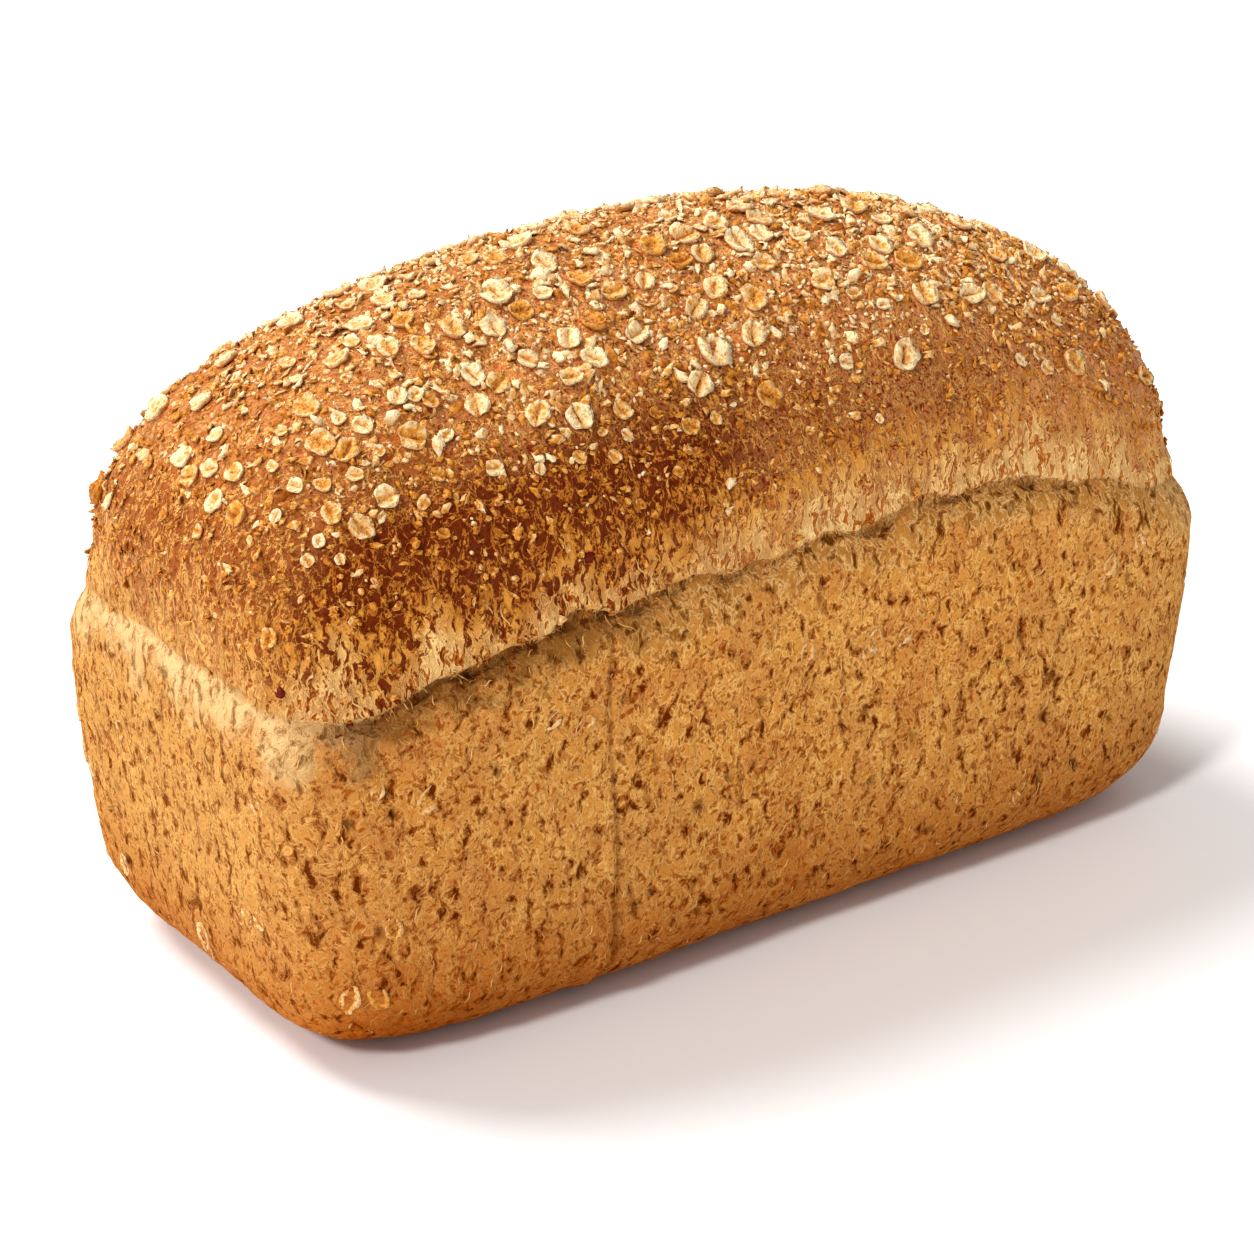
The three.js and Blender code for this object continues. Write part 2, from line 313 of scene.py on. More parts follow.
def relief(points, level, rise, ends):
    """How far the baked crust stands out from its plain form, in mm, and how deep each place is in a pore."""
    walls = smoothstep(level, BASE_EDGE - 0.5, BASE_EDGE + 0.3) * (1 - smoothstep(rise, -3, 1))
    crown = smoothstep(rise, 1, 9)
    torn = smoothstep(rise, -1, 3) * (1 - smoothstep(rise, 20, 34))

    lumps = 1.0 * field(points, 46) + 0.55 * field(points, 19, offset=7.3)
    dimples = field(points, 6.5, of=lambda p: noise.fractal(p, 1.0, 2.1, 3), offset=3.1)
    creases = field(
        points, (3.4, 3.4, 15), of=lambda p: noise.ridged_multi_fractal(p, 0.9, 2, 3, 1, 2), offset=5
    )
    out = lumps * mix(0.6, 1, crown) + dimples * mix(0.35, 0.3, crown) * (level > BASE_EDGE)
    out += torn * 0.55 * (creases - 0.9)

    cells = [noise.voronoi(p) for p in (points / np.array(PORE_SPACING)).tolist()]
    nearest = np.array([cell[0][0] for cell in cells])
    luck = np.array([noise.cell(cell[1][0] * 17.3) for cell in cells])
    pore_size = np.where(luck > 0.35, 0.12 + 0.22 * (luck - 0.35), 0.001)
    pore = (1 - smoothstep(nearest / pore_size, 0.45, 1.15)) * walls
    out -= PORE_DEPTH * pore

    pockets = np.maximum(field(points, (6, 6, 3.6), offset=11) + 0.1, 0)
    out -= side_share(points, ends) * hump(rise, -1.4, 2.2) * (0.7 + 3.6 * pockets)
    out -= 1.1 * ends * hump(rise, -0.3, 1.2) * (0.4 + 2 * pockets)
    return out, pore


def side_share(points, ends):
    """Where the crease is open: along the long sides, fading out before their far end."""
    return (1 - smoothstep(ends, 0.3, 0.8)) * (1 - smoothstep(points[:, 0], 62, 98))


def seam_groove(points):
    """How deep each place lies in the seam, from 0 to 1, and how proud the dough left of it stands, in mm."""
    wander = 0.9 * np.sin(points[:, 2] / 21) + 0.4 * np.sin(points[:, 2] / 6.5 + 1)
    across = points[:, 0] - SEAM_X - wander
    front = (points[:, 1] < -HALF_WIDTH * 0.5) * (1 - smoothstep(points[:, 2], 84, 92))
    groove = hump(across, 0, 0.7) * front * (1 - 0.3 * smoothstep(points[:, 2], 30, 60))
    step = 0.8 * front * hump(across, -2.4, 2.6) * (1 - smoothstep(points[:, 2], 20, 70))
    return groove, step


def crust_piece():
    """The crust as one closed mesh, with the values that its material reads."""
    rows = sum(count for _, _, count in ROWS)
    levels = [BASE_EDGE]
    for low, high, count in ROWS:
        levels += [mix(low, high, (i + 1) / count) for i in range(count)]
    mesh = as_mesh(block_mesh(COLUMNS_ALONG, COLUMNS_ACROSS, rows), "crust")
    block = places_of(mesh)

    seam = SEAM_X / HALF_LENGTH
    along = crowded_columns(COLUMNS_ALONG, [(-1, 0.09), (1, 0.09), (seam, 0.02)], 2.4)
    across = crowded_columns(COLUMNS_ACROSS, [(-1, 0.16), (1, 0.16)], 2)
    u = np.interp(block[:, 0], np.linspace(-1, 1, COLUMNS_ALONG + 1), along)
    v = np.interp(block[:, 1], np.linspace(-1, 1, COLUMNS_ACROSS + 1), across)
    reach = np.maximum(np.maximum(np.abs(u), np.abs(v)), 1e-6)
    row = np.rint((block[:, 2] + 1) / 2 * rows).astype(int)
    on_lid = block[:, 2] > 0
    inside = mix(np.where(on_lid, TOP, BASE_MIDDLE), np.where(on_lid, LID_EDGE, BASE_EDGE), reach)
    level = np.where(reach > 1 - 1e-5, np.array(levels)[row], inside)
    centre = reach < 1e-5
    u, v = np.where(centre, 1, u / reach), np.where(centre, 0, v / reach)

    points = smooth_crust(u, v, level)
    ends, crease = crease_round(u, v)
    rise = points[:, 2] - crease
    plan = points * (1, 1, 0)
    lip_wave = 1 + 0.8 * field(plan, 9, offset=4) + 0.5 * field(plan, 3.4, offset=2)
    overhang = side_share(points, ends) * hump(level, CREASE + 0.2, 0.15) * lip_wave
    points[:, 2] -= LIP_DROOP * overhang
    put_places(mesh, points)
    normals = places_of(mesh, "vertex_normals", "vector")

    out, pore = relief(points, level, rise, ends)
    groove, step = seam_groove(points)
    out += step - SEAM_DEPTH * groove + LIP_OVERHANG * overhang
    base = level <= BASE_EDGE
    out = np.where(base, np.minimum(out, 0) * 0.5, out * smoothstep(level, BASE_EDGE, BASE_EDGE + 0.5))
    baked = points + normals * out[:, None]
    baked[:, 2] = np.maximum(baked[:, 2], 0)
    put_places(mesh, baked * MM)

    x, _, z = points.T
    ragged = field(points, (9, 9, 26), of=lambda p: noise.fractal(p, 1.0, 2, 3), offset=1.7)
    edge = mix(mix(8, 17, smoothstep(x, -60, 110)), 10, ends)
    skin = (rise - edge) / 11 + 0.9 * ragged
    spread = mix(19, 27, smoothstep(-x, 20, 110))
    shoulder = hump(rise, edge + 10, spread) * (1 - 0.6 * smoothstep(ends, 0.45, 0.98))
    toast_and_crease_shade = shoulder * (0.3 - 0.3 * smoothstep(x, 20, 110) + 0.95 * hump(x, -86, 68))
    toast_and_crease_shade += 0.3 * field(points, 30, offset=9)
    # Painted shade below the lip at the near end, carried in the toast value
    toast_and_crease_shade += 1.3 * hump(rise, -6, 8) * hump(x, -92, 34) * (1 - smoothstep(ends, 0.35, 0.6))
    sole = smoothstep(-z, -44, 0) + 0.4 * hump(ends, 0.45, 0.3) * (x < 0)
    for name, values in zip(CRUST_VALUES, (rise, skin, toast_and_crease_shade, ends, pore, groove, sole)):
        put_values(mesh, name, values)
    mesh.polygons.foreach_set("use_smooth", np.ones(len(mesh.polygons), dtype=bool))

    crust = bpy.data.objects.new("crust", mesh)
    bpy.context.scene.collection.objects.link(crust)
    return crust, (normals, skin, rise, ends)


def linear(hex_colour):
    """An sRGB hex colour as the linear values that a shader takes."""
    channels = [int(hex_colour[i : i + 2], 16) / 255 for i in (1, 3, 5)]
    return [c / 12.92 if c <= 0.04045 else ((c + 0.055) / 1.055) ** 2.4 for c in channels] + [1]


def blend(share, *colours):
    """The inputs that mix two colours, each a hex colour or a socket."""
    first, second = (linear(colour) if isinstance(colour, str) else colour for colour in colours)
    return {"Factor_Float": share, "A_Color": first, "B_Color": second}


def remap(value, low, high, to_low=0.0, to_high=1.0):
    """The inputs that carry a value from one range to another, held at its ends."""
    return {"Value": value, "From Min": low, "From Max": high, "To Min": to_low, "To Max": to_high}


def add(tree, kind, inputs=(), out=None, **settings):
    """Adds a node with its settings and gives its first output, or the one named.

    A socket given as an input is linked, and anything else is its value."""
    made = tree.nodes.new("ShaderNode" + kind)
    for name, value in settings.items():
        setattr(made, name, value)
    named = {socket.identifier: socket for socket in made.inputs}
    for name, value in dict(inputs).items():
        socket = made.inputs[name] if isinstance(name, int) else named[name]
        if isinstance(value, bpy.types.NodeSocket):
            tree.links.new(value, socket)
        else:
            socket.default_value = value
    return next((socket for socket in made.outputs if out in (None, socket.identifier)), None)


def layered(tree, colour, layers):
    """A colour with others laid over it in turn. A layer is a share, the most it covers, and a colour."""
    for share, most, tint in layers:
        share = add(tree, "Math", {0: share, 1: most}, operation="MULTIPLY")
        colour = add(tree, "Mix", blend(share, colour, tint), **COLOURS)
    return colour


def new_material(name):
    material = bpy.data.materials.new(name)
    material.use_nodes = True
    tree = material.node_tree
    tree.nodes.clear()
    return material, tree


def baked_crust():
    """Wholemeal crust, baked dry against a tin below and in the open above.

    The walls are matt gold, a web of strands round small hollows. The torn band is pale stretched crumb, and
    the crown's skin is a thin brown glaze with a faint sheen, wrinkled and rough with golden shreds."""
    material, tree = new_material("baked wholemeal crust")
    place = add(tree, "TexCoord", out="Object")
    read = {name: add(tree, "Attribute", out="Fac", attribute_name=name) for name in CRUST_VALUES}
    # A drift of up to 2 mm bends the finer patterns, so that none looks stamped
    drift = add(tree, "TexNoise", {"Vector": place, "Scale": 380, "Detail": 0}, out="Color")
    drifted = {0: drift, 1: (0.002, 0.002, 0.002), 2: place}
    drifted = add(tree, "VectorMath", drifted, operation="MULTIPLY_ADD")
    upright = add(tree, "Mapping", {"Vector": drifted, "Scale": (1, 1, 0.3)})
    slanted = add(tree, "Mapping", {"Vector": drifted, "Rotation": (0, 0.4, 0), "Scale": (1, 1, 0.6)})

    # Blotches of 40 mm and of 11 mm where the tin was hotter, a web of crumb 2.4 mm apart, torn fibres 1.4 mm
    # apart drawn out upright, wrinkles 1.4 mm apart, which on the walls are grain with painted glints and
    # painted shade in small pits, and shreds 2.5 mm apart
    pattern = {}
    for name, vector, scale, detail in (
        ("blotch", place, 25, 2),
        ("mottle", place, 90, 3),
        ("web", slanted, 420, 4),
        ("fibre", upright, 720, 3),
        ("wrinkle", drifted, 700, 3),
        ("shreds", slanted, 400, 3),
    ):
        inputs = {"Vector": vector, "Scale": scale, "Detail": detail, "Roughness": 0.62}
        pattern[name] = add(tree, "TexNoise", inputs)
    # A fold is a ridge that is highest, at 0.5, where its pattern crosses its middle
    fold = {}
    for name in ("web", "fibre", "wrinkle", "shreds"):
        fold[name] = add(tree, "Math", {0: pattern[name], 1: 0.5}, operation="PINGPONG")
    # The web's high places are pale as painted highlight, its low places brown as painted shade, and the
    # lowest are pits, painted dark as shade. Strands run between them
    strand = add(tree, "MapRange", remap(fold["web"], 0.45, 0.5))
    raised = add(tree, "MapRange", remap(pattern["web"], 0.52, 0.63))
    hollow = add(tree, "MapRange", remap(pattern["web"], 0.5, 0.38))
    pit = add(tree, "MapRange", remap(pattern["web"], 0.39, 0.33))
    thread = add(tree, "MapRange", remap(fold["fibre"], 0.445, 0.497))
    # Pale on the fine crinkles' tops, partly as painted highlight
    crinkle_highlight = add(tree, "MapRange", remap(fold["wrinkle"], 0.36, 0.5))
    small_pit_shade = add(tree, "MapRange", remap(pattern["wrinkle"], 0.44, 0.37))
    shred = add(tree, "MapRange", remap(fold["shreds"], 0.455, 0.495))
    smoother = add(tree, "MapRange", remap(read["ends"], 0.5, 1.0, 1.0, 0.7))

    ground = add(tree, "MapRange", remap(pattern["mottle"], 0.36, 0.62))
    wall = add(tree, "Mix", blend(ground, "#AE5008", "#D07E20"), **COLOURS)
    pale = add(tree, "MapRange", remap(pattern["blotch"], 0.45, 0.7))
    webby = add(tree, "MapRange", remap(pattern["mottle"], 0.38, 0.58, 0.4, 0.85))
    # Pale strands, with painted glints on the fine crinkles
    strand_and_glint_share = add(tree, "Math", {0: strand, 1: webby}, operation="MULTIPLY")
    strand_and_glint_share = add(tree, "Math", {0: crinkle_highlight, 1: 0.35, 2: strand_and_glint_share}, operation="MULTIPLY_ADD")
    wall = layered(tree, wall, (
        (pale, 0.45, "#C88E44"),
        # Paler on the ends, partly as flour and partly as painted highlight
        (read["ends"], 0.75, "#B6864E"),
        # Painted highlight on the web's high places
        (raised, 0.45, "#E6A24C"),
        # Painted shade in the web's low places
        (hollow, 0.7, "#963800"),
        (strand_and_glint_share, smoother, "#F6BE6A"),
        # Painted shade in small pits
        (small_pit_shade, 0.7, "#8A3600"),
        (read["sole"], 0.65, "#A84C00"),
        # Painted shade inside the pores
        (read["pore"], 0.85, "#6E3A10"),
        # Painted shade in the pits
        (pit, smoother, "#6A2800"),
        # Painted shade in the seam's groove
        (read["seam"], 0.45, "#7A4214"),
    ))

    # The crumb below the crease stayed pale and soft. Its dark hollows and pits, and a darker patch at the
    # near end, are painted shade
    cream_share = add(tree, "MapRange", remap(read["ends"], 0.35, 0.75, 0.0, 0.85))
    cream = add(tree, "Mix", blend(hollow, "#EEC88E", "#CCA062"), **COLOURS)
    painted_crease_shade = add(tree, "MapRange", remap(read["toast_and_crease_shade"], 0.2, 0.9))
    crease = add(tree, "Mix", blend(strand, "#B87C38", "#EDBE7A"), **COLOURS)
    crease = layered(tree, crease, (
        (hollow, 0.8, "#8A5216"),
        # Painted shade below the lip at the near end
        (painted_crease_shade, 0.9, "#6C3C10"),
        (pit, 0.7, "#55300E"),
        (cream_share, 1.0, cream),
    ))
    patchy = add(tree, "MapRange", remap(pattern["mottle"], 0.35, 0.6, -6.0, 5.0))
    under = add(tree, "Math", {0: read["rise"], 1: patchy}, operation="ADD")
    under = add(tree, "MapRange", remap(under, -13.0, -2.0, 0.0, 0.8), interpolation_type="SMOOTHSTEP")
    colour = add(tree, "Mix", blend(under, wall, crease), **COLOURS)

    # The torn band darkens as it nears the skin, its threads less than the ground between them
    near = add(tree, "MapRange", remap(read["skin"], -1.2, 0.4), interpolation_type="SMOOTHSTEP")
    torn_ground = add(tree, "Mix", blend(near, "#B25C0E", "#8E3400"), **COLOURS)
    torn_thread = add(tree, "Mix", blend(near, "#FFD890", "#F5AC48"), **COLOURS)
    clump = add(tree, "MapRange", remap(pattern["mottle"], 0.4, 0.6, -0.2, 0.15))
    fibre_tone = add(tree, "MapRange", remap(pattern["fibre"], 0.43, 0.58, 0.0, 0.6))
    fibre_tone = add(tree, "Math", {0: thread, 1: 0.7, 2: fibre_tone}, operation="MULTIPLY_ADD")
    fibre_tone = add(tree, "Math", {0: fibre_tone, 1: clump}, operation="ADD", use_clamp=True)
    torn = add(tree, "Mix", blend(fibre_tone, torn_ground, torn_thread), **COLOURS)
    end_share = add(tree, "MapRange", remap(read["ends"], 0.6, 1.0, 0.0, 0.85))
    torn = add(tree, "Mix", blend(end_share, torn, wall), **COLOURS)
    torn_share = add(tree, "MapRange", remap(read["rise"], -0.5, 1.2), interpolation_type="SMOOTHSTEP")
    colour = add(tree, "Mix", blend(torn_share, colour, torn), **COLOURS)

    # The skin is red-brown between its wrinkles, darkest at the shoulder, and torn into golden shreds. Its
    # wrinkles' pale tops and dark gaps are partly painted highlight and shade
    toast_share = add(tree, "MapRange", remap(read["toast_and_crease_shade"], 0.1, 0.8, 0.0, 0.93))
    patch = add(tree, "MapRange", remap(pattern["mottle"], 0.44, 0.6, 0.35, 0.95))
    patch = add(tree, "Math", {0: patch, 1: toast_share}, operation="ADD", use_clamp=True)
    shred_tone = add(tree, "Mix", blend(toast_share, "#FFC870", "#CE741E"), **COLOURS)
    golden = add(tree, "MapRange", remap(pattern["mottle"], 0.48, 0.66))
    skin = add(tree, "Mix", blend(crinkle_highlight, "#862C00", "#EC9A56"), **COLOURS)
    skin = layered(tree, skin, (
        (golden, 0.5, "#D46C12"),
        (read["ends"], 0.5, "#B6621A"),
        (toast_share, 1.0, "#641A00"),
        (shred, patch, shred_tone),
    ))
    ragged = add(tree, "MapRange", remap(pattern["fibre"], 0.3, 0.7, -1.7, 1.7))
    skin_edge = add(tree, "Math", {0: read["skin"], 1: ragged}, operation="SUBTRACT")
    skin_share = add(tree, "MapRange", remap(skin_edge, -0.5, 0.6), interpolation_type="SMOOTHSTEP")
    colour = add(tree, "Mix", blend(skin_share, colour, skin), **COLOURS)

    # Relief too fine for the mesh, in mm: the web and its pits below the crease, threads and wrinkles above
    below = add(tree, "Math", {0: pattern["web"], 1: 1.6}, operation="MULTIPLY")
    for lump, most in ((fold["web"], 1.0), (pit, -0.35), (fold["wrinkle"], 1.1)):
        below = add(tree, "Math", {0: lump, 1: most, 2: below}, operation="MULTIPLY_ADD")
    threads = add(tree, "Math", {0: fold["fibre"], 1: 2.0}, operation="MULTIPLY")
    skins = add(tree, "Math", {0: fold["wrinkle"], 1: 1.6}, operation="MULTIPLY")
    skins = add(tree, "Math", {0: shred, 1: 0.2, 2: skins}, operation="MULTIPLY_ADD")
    above = {"Factor_Float": skin_share, "A_Float": threads, "B_Float": skins}
    above = add(tree, "Mix", above, out="Result_Float")
    height = {"Factor_Float": torn_share, "A_Float": below, "B_Float": above}
    height = add(tree, "Mix", height, out="Result_Float")
    bump = add(tree, "Bump", {"Height": height, "Strength": 1.0, "Distance": 0.001})
    roughness = add(tree, "MapRange", remap(skin_share, 0.0, 1.0, 0.62, 0.48))
    sheen = add(tree, "MapRange", remap(toast_share, 0.0, 0.5, 0.16, 0.03))
    sheen = add(tree, "Math", {0: skin_share, 1: sheen}, operation="MULTIPLY")
    shader = add(
        tree, "BsdfPrincipled",
        {"Base Color": colour, "Roughness": roughness, "Specular IOR Level": sheen, "Normal": bump},
    )
    add(tree, "OutputMaterial", {"Surface": shader})
    return material


def rolled_oat():
    """Rolled oat, steamed, pressed flat and toasted.

    It is cream where it stands proud and brown where most toasted. The gold in its hollows is painted shade,
    and the brown at its edge is partly toasting and partly painted shade."""
    material, tree = new_material("toasted rolled oat")
    tone = add(tree, "Attribute", out="Fac", attribute_name="tone")
    rim = add(tree, "Attribute", out="Fac", attribute_name="rim")
    groove = add(tree, "Attribute", out="Fac", attribute_name="groove")
    place = add(tree, "TexCoord", out="Object")
    # Crinkles 1.5 mm apart, gold between their pale tops as painted shade
    grain = add(tree, "TexNoise", {"Vector": place, "Scale": 680, "Detail": 2, "Roughness": 0.6})
    fold = add(tree, "Math", {0: grain, 1: 0.5}, operation="PINGPONG")
    between = add(tree, "MapRange", remap(fold, 0.48, 0.36, 0.0, 0.5))
    toast_and_hollow_shade = add(tree, "Math", {0: tone, 1: between}, operation="ADD")
    # On whole flakes and curls the groove value is painted shade in their hollows; on chips and crumbs it is
    # tone at random
    toast_and_hollow_shade = add(tree, "Math", {0: groove, 1: 0.75, 2: toast_and_hollow_shade}, operation="MULTIPLY_ADD")
    golden = add(tree, "MapRange", remap(toast_and_hollow_shade, 0.2, 0.95))
    toasted = add(tree, "MapRange", remap(toast_and_hollow_shade, 0.95, 1.6))
    # Brown on the edge and underside, partly toasting and partly painted shade
    edge_toast_and_shade = add(tree, "Math", {0: rim, 1: 0.7}, operation="MULTIPLY")
    colour = add(tree, "Mix", blend(golden, "#FFE8B6", "#E2962E"), **COLOURS)
    colour = add(tree, "Mix", blend(toasted, colour, "#A04E04"), **COLOURS)
    colour = add(tree, "Mix", blend(edge_toast_and_shade, colour, "#BC6C10"), **COLOURS)
    height = add(tree, "Math", {0: fold, 1: 1.1}, operation="MULTIPLY")
    bump = add(tree, "Bump", {"Height": height, "Strength": 1.0, "Distance": 0.001})
    shader = add(
        tree, "BsdfPrincipled",
        {"Base Color": colour, "Roughness": 0.5, "Specular IOR Level": 0.2, "Normal": bump},
    )
    add(tree, "OutputMaterial", {"Surface": shader})
    return material


def whole_flake(rng):
    """A rolled oat about 1 across: a dished, crumpled disc with an uneven raised rim and a crooked groove."""
    flake = bmesh.new()
    bmesh.ops.create_grid(flake, x_segments=8, y_segments=6, size=1)
    wobble = [rng.uniform(-0.07, 0.07) for _ in range(4)]
    turn = rng.uniform(0, 2 * math.pi)
    bend = rng.uniform(-0.3, 0.3)
    length = rng.uniform(0.5, 0.95)
    depth = rng.uniform(0.11, 0.2)
    inner = {}
    for vert in flake.verts:
        x, y = vert.co.x, math.copysign(abs(vert.co.y) ** 1.4, vert.co.y)
        reach = max(abs(x), abs(y))
        x, y = x * math.sqrt(1 - y * y / 2), y * math.sqrt(1 - x * x / 2)
        angle = math.atan2(y, x)
        swell = 1 + sum(w * math.sin((i + 2) * angle + turn * (i + 1)) for i, w in enumerate(wobble))
        groove = math.exp(-(((y - bend * x * x + 0.1 * bend) / 0.15) ** 2)) * (abs(x) < length)
        rim = reach**2 * (0.11 + 0.07 * math.sin(2 * angle + turn) + 0.04 * math.sin(5 * angle + 2 * turn))
        height = rim - depth * groove + rng.uniform(-0.035, 0.035)
        vert.co = (0.5 * x * swell, 0.5 * y * swell, height)
        # The second value, how low each place lies, is painted shade in its material
        inner[vert] = (0, min(max((0.1 - height) / 0.2, 0), 1))
    edges = [e for e in flake.edges if e.is_boundary]
    sides = bmesh.ops.extrude_edge_only(flake, edges=edges)
    lower = [v for v in sides["geom"] if isinstance(v, bmesh.types.BMVert)]
    bmesh.ops.scale(flake, verts=lower, vec=(0.88, 0.88, 0.3))
    bmesh.ops.translate(flake, verts=lower, vec=(0, 0, -0.16))
    bmesh.ops.holes_fill(flake, edges=[e for e in flake.edges if e.is_boundary], sides=0)
    bmesh.ops.recalc_face_normals(flake, faces=flake.faces)
    return unit_shape(flake, inner)


def curled_fragment(rng):
    """A broken oat about 1 across, curled to an uneven rim round a hollow."""
    shell = bmesh.new()
    bmesh.ops.create_circle(shell, segments=rng.choice((6, 7, 8)), radius=0.42, cap_ends=True)
    stretch = rng.uniform(0.5, 1)
    for vert in shell.verts:
        vert.co.x *= rng.uniform(0.7, 1.3)
        vert.co.y *= stretch * rng.uniform(0.7, 1.3)
        vert.co.z = rng.uniform(0.05, 0.5) ** 1.3
    top = shell.faces[:]
    bmesh.ops.inset_region(shell, faces=top, thickness=0.12, depth=0.02)
    bmesh.ops.inset_region(shell, faces=top, thickness=0.07, depth=-0.22)
    inner = {v: (0, 0) for v in shell.verts}
    # The hollow's floor is marked for painted shade
    inner.update({v: (0.3, 1) for v in top[0].verts})
    edges = [e for e in shell.edges if e.is_boundary]
    below = bmesh.ops.extrude_edge_only(shell, edges=edges)
    lower = [v for v in below["geom"] if isinstance(v, bmesh.types.BMVert)]
    for vert in lower:
        vert.co.z = -0.15
    bmesh.ops.holes_fill(shell, edges=[e for e in shell.edges if e.is_boundary], sides=0)
    bmesh.ops.recalc_face_normals(shell, faces=shell.faces)
    return unit_shape(shell, inner)


def ragged_chip(rng):
    """A thin torn chip of oat or bran about 1 long, bent and crumpled."""
    chip = bmesh.new()
    bmesh.ops.create_grid(chip, x_segments=3, y_segments=2, size=0.5)
    width, bend, lift = rng.uniform(0.4, 0.9), rng.uniform(-0.7, 0.9), rng.uniform(0, 0.4)
    for vert in chip.verts:
        taper = 1 - 0.5 * abs(vert.co.x * 2) ** 2
        x, y = vert.co.x + rng.uniform(-0.16, 0.16), vert.co.y * width * taper + rng.uniform(-0.13, 0.13)
        vert.co = (x, y, bend * (0.25 - x * x) + lift * (x + 0.5) - 0.5 * y * y + rng.uniform(-0.1, 0.1))
    block = bmesh.ops.extrude_face_region(chip, geom=chip.faces[:])
    upper = [v for v in block["geom"] if isinstance(v, bmesh.types.BMVert)]
    bmesh.ops.translate(chip, verts=upper, vec=(0, 0, rng.uniform(0.1, 0.2)))
    bmesh.ops.recalc_face_normals(chip, faces=chip.faces)
    return unit_shape(chip, {v: (0, rng.uniform(-0.4, 0.6)) for v in upper})


def crumb(rng):
    """A crumb about 1 across."""
    grain = bmesh.new()
    bmesh.ops.create_icosphere(grain, subdivisions=1, radius=0.5)
    for vert in grain.verts:
        vert.co *= rng.uniform(0.6, 1.2)
        vert.co.z *= 0.75
    return unit_shape(grain, {v: (0, rng.uniform(-0.3, 0.7)) for v in grain.verts})


def torn_strand(rng):
    """A strand of stretched crumb 1 long and 1 thick, which leaves the surface in the middle."""
    strand = bmesh.new()
    bmesh.ops.create_cone(strand, cap_ends=True, segments=3, radius1=0.5, radius2=0.25, depth=1)
    sides = [e for e in strand.edges if abs(e.verts[0].co.z - e.verts[1].co.z) > 0.5]
    bmesh.ops.subdivide_edges(strand, edges=sides, cuts=5, use_grid_fill=True)
    sway, arch, phase = rng.uniform(0.03, 0.09), rng.uniform(-0.1, 0.5), rng.uniform(0, 2 * math.pi)
    for vert in strand.verts:
        along = vert.co.z
        thin = 0.6 + 0.4 * math.cos(along * 5 + phase)
        side = sway * math.sin(along * 7 + phase)
        vert.co = (along, vert.co.y * thin, vert.co.x * thin * 0.7 + arch * (1 - 4 * along * along) - 0.15)
        vert.co.y += side * 8
    return unit_shape(strand, {v: (0.2, 0) for v in strand.verts})


def unit_shape(shape, inner):
    """Gives a shape's vertices, faces, and rim and groove values, and frees the shape."""
    shape.verts.index_update()
    points = np.array([v.co[:] for v in shape.verts])
    faces = [[v.index for v in f.verts] for f in shape.faces]
    # Vertices not listed, on the underside and cut edge, get rim 1: browned, partly as toasting and partly as
    # painted shade
    values = np.array([inner.get(v, (1, 0)) for v in shape.verts])
    shape.free()
    return points, faces, values


def joined(name, kinds, places, material):
    """One mesh of many pieces. Each place is a kind, an origin, a 3 by 3 turn and scale, and a tone."""
    points, faces, rims, grooves, tones, start = [], [], [], [], [], 0
    for kind, origin, turn, tone in places:
        shape, shape_faces, values = kinds[kind]
        points.append(shape @ turn.T + origin)
        faces += [[start + i for i in face] for face in shape_faces]
        rims.append(values[:, 0])
        grooves.append(values[:, 1])
        tones.append(np.full(len(shape), tone))
        start += len(shape)
    mesh = bpy.data.meshes.new(name)
    mesh.from_pydata((np.concatenate(points) * MM).tolist(), [], faces)
    put_values(mesh, "rim", np.concatenate(rims))
    put_values(mesh, "groove", np.concatenate(grooves))
    put_values(mesh, "tone", np.concatenate(tones))
    mesh.polygons.foreach_set("use_smooth", np.ones(len(mesh.polygons), dtype=bool))
    mesh.materials.append(material)
    piece = bpy.data.objects.new(name, mesh)
    bpy.context.scene.collection.objects.link(piece)
    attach(piece, "root")
    return piece


def lying(normal, rng, size, tilt):
    """A turn and scale that lays a unit shape on a surface, turned at random and tilted by some radians."""
    up = Vector(normal) + Vector([rng.gauss(0, tilt) for _ in range(3)])
    stand = up.to_track_quat("Z", "Y").to_matrix()
    return np.array(stand @ Matrix.Rotation(rng.uniform(0, 2 * math.pi), 3, "Z")) @ np.diag(size)


def running(normal, heading, rng, size, sway):
    """A turn and scale that runs a unit shape's length along a surface, about a heading."""
    up = Vector(normal).normalized()
    along = Vector(heading) + Vector([rng.gauss(0, sway) for _ in range(3)])
    along = (along - up * along.dot(up)).normalized()
    return np.array(Matrix((along, up.cross(along), up)).transposed()) @ np.diag(size)


def camera_axes():
    """The camera's back, right and up, and where it stands."""
    azimuth, elevation = math.radians(CAMERA_AZIMUTH), math.radians(CAMERA_ELEVATION)
    back = Vector((math.sin(azimuth), -math.cos(azimuth), math.tan(elevation))).normalized()
    right = Vector((math.cos(azimuth), math.sin(azimuth), 0))
    target = right * TARGET_SIDEWAYS + Vector((0, 0, TARGET_HEIGHT))
    return back, right, back.cross(right), target + back * CAMERA_DISTANCE


